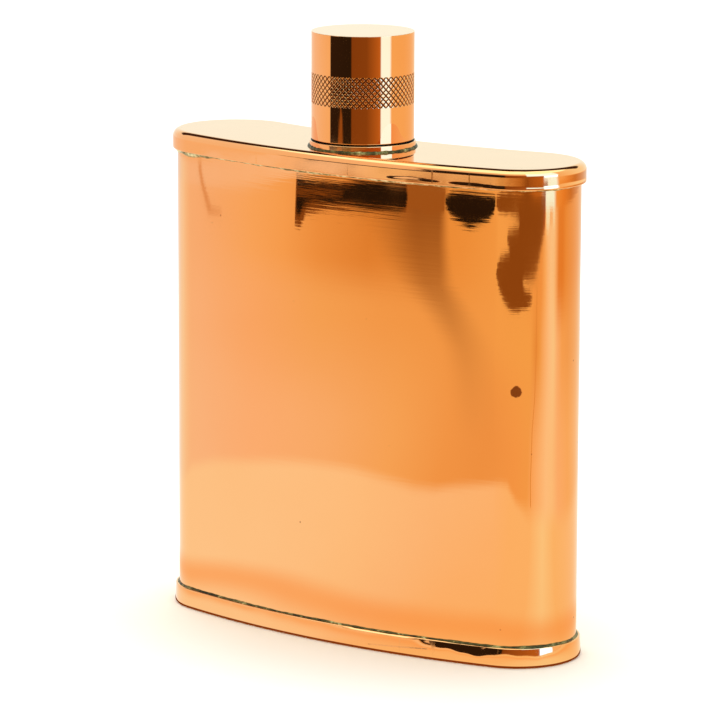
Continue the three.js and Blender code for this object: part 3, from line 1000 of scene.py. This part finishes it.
def room_glow():
    """What the polished metal sees above the table, by height and direction."""
    finish = Finish("room_glow")
    spot = finish.spot()
    heading = finish.heading(spot)
    rise = finish.maths("ARCSINE", finish.part(spot, 2) / finish.length(spot)) * DEGREES

    colour = directional(finish, heading, ROOM_WALLS)
    ragged = heading + (finish.noise(9.0, detail=3.0) - 0.5) * 16
    skirting = finish.window(heading, -45, 77, 1.5) * (1 - finish.step(rise, 2, 3))
    dark_side = finish.window(ragged, -20, 77, 1.5) * (1 - finish.step(rise, 30, 10))
    dark = directional(finish, heading, ROOM_DARK)
    colour = finish.blend(finish.maths("MAXIMUM", skirting, dark_side), colour, dark)
    high_window = finish.window(heading, 48, 106, 2) * finish.window(rise, 19, 70, 3)
    colour = finish.blend(high_window, colour, (1.1, 2.3, 4.4))
    low_window = finish.window(heading, 77, 103, 1.5) * (1 - finish.step(rise, 19, 3))
    colour = finish.blend(low_window, colour, (1.2, 3.2, 8.0))
    colour = finish.blend(finish.step(rise, 49, 4), colour, (1.5, 2.2, 2.5))
    backdrop_top = finish.window(rise, 31, 84, 3) * (1 - finish.window(heading, -92, 165, 4))
    colour = finish.blend(backdrop_top, colour, (0.05, 0.025, 0.012))
    return finish.glow(colour)


def round_sheet(radius, height):
    """A flat round sheet about the origin."""
    verts = [(radius * math.cos(a), radius * math.sin(a), height) for a in full_turn(STAGE_STEPS)]
    return verts, [list(range(STAGE_STEPS))]


def dome(radius):
    """Half a ball about the origin, open below."""
    angles = full_turn(STAGE_STEPS)
    rings = []
    for rise in np.radians(np.linspace(0, 85, 24)):
        across, up = radius * math.cos(rise), radius * math.sin(rise)
        flat = [across * np.cos(angles), across * np.sin(angles)]
        rings.append(np.column_stack([*flat, np.full(STAGE_STEPS, up)]))
    return skin(rings, tips=(None, (0, 0, radius)))


def card(name, colour, height, corners):
    """A glowing shape lying just over the table. Its height is in millimetres, and its corners are
    (heading, distance in millimetres)."""
    verts = []
    for heading, reach in corners:
        angle = math.radians(heading)
        verts.append((reach * MM * math.sin(angle), -reach * MM * math.cos(angle), height * MM))
    stage_mesh(name, verts, [list(range(len(verts)))], Finish(name).glow(colour), glossy=True)


def room_shapes():
    """Shapes of the room that lie across the table's reflection."""
    card("doorway", BROWN, 0.2, [
        (-3, 512), (2, 498), (8, 488), (15, 481), (25, 477), (34, 481), (45, 492), (55, 502), (61, 511),
        (63.5, 520), (57, 529), (47, 531), (44.5, 537), (49, 543), (58, 547), (65, 553), (70, 566),
        (74, 586), (77, 606), (81, 627), (83.5, 645), (84, 700), (84, 764), (50, 764), (33, 732), (20, 722),
        (5, 706), (-4, 686), (-4, 652), (0, 641), (8, 645), (20, 654), (30, 656), (36, 650), (38.5, 638),
        (30, 627), (20, 612), (16, 597), (17, 583), (22.5, 572), (15, 563), (5, 550), (-1, 532)])
    card("dark_left", BLACK, 0.3, [
        (-32, 634), (-30, 625), (-26, 620), (-22.5, 614), (-21.2, 622), (-20.8, 650), (-21.3, 678),
        (-25, 684), (-29, 682), (-31, 677), (-32, 672), (-36, 677), (-39, 686), (-41, 692), (-42.4, 697),
        (-42.4, 678), (-40, 673), (-36, 665), (-33, 656), (-33.5, 652), (-36, 656), (-41, 664),
        (-42.4, 668), (-42.4, 640), (-41.8, 632), (-41, 646), (-39, 650), (-36, 641)])
    card("dark_left_haze", (0.24, 0.105, 0.025), 0.25, [
        (-42.6, 616), (-41.6, 610), (-40.4, 634), (-36, 634), (-31, 624), (-24, 612), (-21, 616),
        (-21, 684), (-30, 686), (-34, 679), (-38, 687), (-42.6, 699)])
    card("worn_gap", (0.37, 0.185, 0.05), 0.24, [
        (-21.5, 616), (-19, 622), (-17, 610), (-14, 618), (-14, 686), (-21.5, 688)])
    card("dark_far_left", (0.8, 0.58, 0.42), 0.22, [
        (-64, 765), (-63.3, 765), (-63, 722), (-61.1, 640), (-58.8, 634), (-58.8, 622), (-61.9, 620),
        (-63.7, 722)])
    card("chair_leg", (0.83, 0.53, 0.2), 0.22, [
        (65.5, 212), (66.8, 212), (65.4, 245), (66.4, 310), (69.6, 350), (71, 420), (71, 540), (69.8, 540),
        (69.8, 420), (68.4, 350), (65.2, 310), (64.2, 245)])
    card("dark_right", BLACK, 0.3, [
        (-13.9, 640), (-12.8, 614), (-11, 600), (-9.3, 590), (-7.5, 601), (-6, 612), (-5.2, 630),
        (-4.7, 660), (-5, 682), (-7.5, 684), (-11, 686), (-12.8, 680), (-13.9, 664)])
    card("dark_edge", (0.4, 0.14, 0.025), 0.35, [
        (79.5, 628), (83, 640), (84.5, 700), (81.5, 700)])
    card("bright_slit", (1.0, 1.55, 2.1), 0.35, [
        (85.5, 655), (89, 640), (92.5, 655), (92.5, 702), (86, 702)])
    card("bright_slit_right", (1.02, 1.35, 1.7), 0.35, [
        (98.5, 660), (101, 650), (103.5, 660), (103, 702), (99, 702)])
    card("window_bar", (1.0, 0.86, 0.57), 0.36, [
        (92.5, 660), (98.5, 660), (99, 702), (92.5, 702)])


def studio():
    """A pale table in an even white room, with all that only the metal's reflections see."""
    scene = bpy.context.scene
    world = bpy.data.worlds.new("soft_white_room")
    scene.world = world
    world.use_nodes = True
    light = world.node_tree.nodes["Background"].inputs
    light["Color"].default_value = (1, 1, 1, 1)
    light["Strength"].default_value = 1.28

    ground = Finish("pale_table")
    grain = ground.noise(400.0, detail=2.0)
    floor_tone_and_shadow = ground.blend(grain, (0.86, 0.85, 0.825), (0.88, 0.87, 0.845))
    # Painted shade and reflected glow: near the flask the table turns a darker, warmer cream, a faint shadow
    # warmed by light off the copper.
    away = ground.length(ground.place((0.6, 1, 1))) / MM
    floor_tone_and_shadow = ground.blend((1 - ground.step(away, 45, 60)) * 0.8, floor_tone_and_shadow, (0.89, 0.79, 0.62))
    ground = ground.surface(Base_Color=floor_tone_and_shadow, Roughness=0.9)
    table = round_sheet(TABLE_RADIUS, 0)
    stage_mesh("table", *table, ground, camera=True, diffuse=True, transmission=True, shadow=True)

    stage_mesh("table_seen_in_metal", *round_sheet(MIRRORED_RADIUS, -0.1 * MM), table_glow(), glossy=True)
    stage_mesh("room_seen_in_metal", *dome(MIRRORED_RADIUS), room_glow(), glossy=True)
    room_shapes()
    contact = Finish("contact_shade").glow((0.24, 0.08, 0.014))
    verts, faces = skin([outline_ring(0.9 * MM, 0.04 * MM), outline_ring(-1.5 * MM, 0.04 * MM)])
    stage_mesh("contact_shade", verts, faces, contact, glossy=True)

    key = bpy.data.lights.new("overhead_softbox", "AREA")
    key.energy = 6
    key.size = 0.8
    key.color = (1.0, 0.98, 0.95)
    lamp = put("overhead_softbox", key)
    lamp.location = (-0.35, 0.25, 1.3)
    lamp.rotation_euler = (Vector((0, 0, 0.06)) - lamp.location).to_track_quat("-Z", "Y").to_euler()
    lamp.visible_glossy = False

    scene.view_settings.view_transform = "Standard"
    scene.view_settings.look = "None"


def place_camera():
    azimuth, elevation, roll = (math.radians(a) for a in (36.95, 11.31, 0.18))
    distance = 1087.4 * MM
    aim = Vector((0, END_Y, 65 * MM))
    shift = Vector((-3.4 * MM, -0.44 * MM, 0))
    level = math.cos(elevation)
    back = Vector((math.sin(azimuth) * level, -math.cos(azimuth) * level, math.sin(elevation)))
    turn = (-back).to_track_quat("-Z", "Y").to_matrix() @ Matrix.Rotation(roll, 3, "Z")
    aim += turn @ shift
    lens = bpy.data.cameras.new("camera")
    lens.sensor_width = 36
    lens.lens = 230.3
    lens.clip_start = 0.01
    camera = put("camera", lens)
    camera.location = aim + back * distance
    camera.rotation_euler = turn.to_euler()
    bpy.context.scene.camera = camera


# ---- Assembly ----

place_camera()
copper = plate_copper()
pale_solder = soft_solder("pale_soft_solder", 0.15)
dark_solder = soft_solder("dark_soft_solder", -0.03)
brass = thread_brass()
rolled_wall(body_copper())
seam_line(dark_solder)
pressed_lid(copper)
pressed_base(copper)
lid_bead(pale_solder)
base_bead(dark_solder)
neck_ring(copper)
lid_top, lid_underside = lid_high.z, lid_high.z - SHEET
collar_sizes, neck_sizes = ring_sizes(31, 0.35, 0.55), ring_sizes(32, 0.5, 1.0)
round_bead("collar_bead", "collar_solder", COLLAR_RADIUS, lid_top, collar_sizes, dark_solder)
round_bead("neck_bead", "neck_solder", FOOT_RADIUS, lid_underside, neck_sizes, pale_solder, -1)
threaded_neck(brass)
turned_cap(cap_copper())
thread_ring(brass)
sealing_disc(seal_rubber())
studio()
